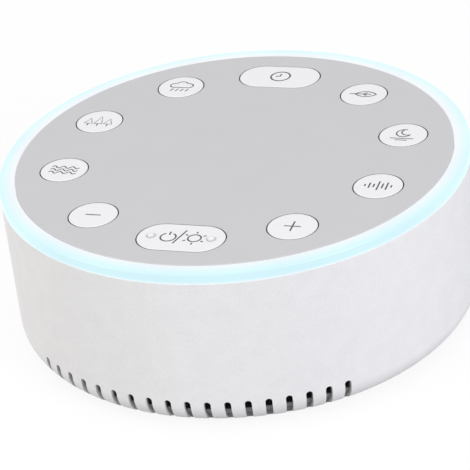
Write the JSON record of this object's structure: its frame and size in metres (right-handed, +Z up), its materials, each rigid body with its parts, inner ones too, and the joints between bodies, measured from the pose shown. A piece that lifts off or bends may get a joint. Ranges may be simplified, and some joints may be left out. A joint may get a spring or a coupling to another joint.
{
  "type": "white noise sound machine",
  "caption": "Round table-top sound machine with push keys on a grey top panel, a lit ring round the rim and vent slots round the foot.",
  "frame": {"origin": "middle of the footprint, on the surface that the feet stand on", "axes": "+Z up through the top panel, -Y towards the power key and the vent slots, +Y towards the power inlet, +X to the right of the key symbols"},
  "size_m": [0.12, 0.12, 0.0446],
  "materials": {
    "case_plastic": "fine spark-eroded texture",
    "foot_rubber": "matt",
    "print_ink": "pad-printed ink of the key symbols",
    "screw_steel": "zinc plated",
    "ring_diffuser": "milky, lit from inside",
    "panel_plastic": "fine matt",
    "key_plastic": "satin",
    "switch_plastic": "satin",
    "circuit_board": "solder mask",
    "led_resin": "clear resin",
    "capacitor_sleeve": "shrink sleeve",
    "connector_plastic": "nylon",
    "speaker_steel": "zinc plated",
    "foam": "soft foam",
    "spider_cloth": "resin-dipped cloth",
    "cone_paper": "pressed pulp",
    "copper_wire": "enamelled copper",
    "ferrite": "ground ferrite",
    "terminal_board": "phenolic board",
    "lead_sleeve": "vinyl sleeve",
    "jack_plastic": "satin",
    "contact_metal": "nickel plated"
  },
  "bodies": {
    "housing": {"body_shell": "case_plastic", "base_cover": "case_plastic", "rubber_feet": "foot_rubber", "base_screws": "screw_steel", "light_ring": "ring_diffuser", "top_panel": "panel_plastic", "panel_screws": "screw_steel", "control_board": "circuit_board", "board_screws": "screw_steel", "switch_housings": "switch_plastic", "ring_leds": "led_resin", "sound_chip": "switch_plastic", "amplifier_chip": "switch_plastic", "bulk_capacitor": "capacitor_sleeve", "lead_connectors": "connector_plastic", "speaker_basket": "speaker_steel", "speaker_gasket": "foam", "speaker_surround": "foam", "speaker_spider": "spider_cloth", "speaker_top_plate": "speaker_steel", "speaker_magnet": "ferrite", "speaker_yoke": "speaker_steel", "speaker_terminals": "terminal_board", "speaker_screws": "screw_steel", "speaker_leads": "lead_sleeve", "jack_housing": "jack_plastic", "jack_pin": "contact_metal", "jack_tabs": "contact_metal", "power_leads": "lead_sleeve"},
    "timer_button": {"key_timer": "key_plastic", "plunger_timer": "switch_plastic"},
    "relax_button": {"key_relax": "key_plastic", "plunger_relax": "switch_plastic"},
    "calm_button": {"key_calm": "key_plastic", "plunger_calm": "switch_plastic"},
    "white_noise_button": {"key_white_noise": "key_plastic", "plunger_white_noise": "switch_plastic"},
    "plus_button": {"key_plus": "key_plastic", "plunger_plus": "switch_plastic"},
    "power_button": {"key_power": "key_plastic", "plunger_power": "switch_plastic"},
    "minus_button": {"key_minus": "key_plastic", "plunger_minus": "switch_plastic"},
    "ocean_button": {"key_ocean": "key_plastic", "plunger_ocean": "switch_plastic"},
    "forest_button": {"key_forest": "key_plastic", "plunger_forest": "switch_plastic"},
    "rain_button": {"key_rain": "key_plastic", "plunger_rain": "switch_plastic"},
    "speaker_moving_set": {"speaker_cone": "cone_paper", "dust_cap": "cone_paper", "voice_coil": "copper_wire"}
  },
  "joints": [
    {"name": "timer_press", "type": "slide", "parent": "housing", "child": "timer_button", "axis": [0, 0, -1], "range_m": [0, 0.0006], "stiffness_N_per_m": 1500},
    {"name": "relax_press", "type": "slide", "parent": "housing", "child": "relax_button", "axis": [0, 0, -1], "range_m": [0, 0.0006], "stiffness_N_per_m": 1500},
    {"name": "calm_press", "type": "slide", "parent": "housing", "child": "calm_button", "axis": [0, 0, -1], "range_m": [0, 0.0006], "stiffness_N_per_m": 1500},
    {"name": "white_noise_press", "type": "slide", "parent": "housing", "child": "white_noise_button", "axis": [0, 0, -1], "range_m": [0, 0.0006], "stiffness_N_per_m": 1500},
    {"name": "plus_press", "type": "slide", "parent": "housing", "child": "plus_button", "axis": [0, 0, -1], "range_m": [0, 0.0006], "stiffness_N_per_m": 1500},
    {"name": "power_press", "type": "slide", "parent": "housing", "child": "power_button", "axis": [0, 0, -1], "range_m": [0, 0.0006], "stiffness_N_per_m": 1500},
    {"name": "minus_press", "type": "slide", "parent": "housing", "child": "minus_button", "axis": [0, 0, -1], "range_m": [0, 0.0006], "stiffness_N_per_m": 1500},
    {"name": "ocean_press", "type": "slide", "parent": "housing", "child": "ocean_button", "axis": [0, 0, -1], "range_m": [0, 0.0006], "stiffness_N_per_m": 1500},
    {"name": "forest_press", "type": "slide", "parent": "housing", "child": "forest_button", "axis": [0, 0, -1], "range_m": [0, 0.0006], "stiffness_N_per_m": 1500},
    {"name": "rain_press", "type": "slide", "parent": "housing", "child": "rain_button", "axis": [0, 0, -1], "range_m": [0, 0.0006], "stiffness_N_per_m": 1500},
    {"name": "cone_stroke", "type": "slide", "parent": "housing", "child": "speaker_moving_set", "axis": [0, 0, 1], "range_m": [-0.0008, 0.0008], "stiffness_N_per_m": 1500, "deforming": ["speaker_surround", "speaker_spider"]}
  ]
}
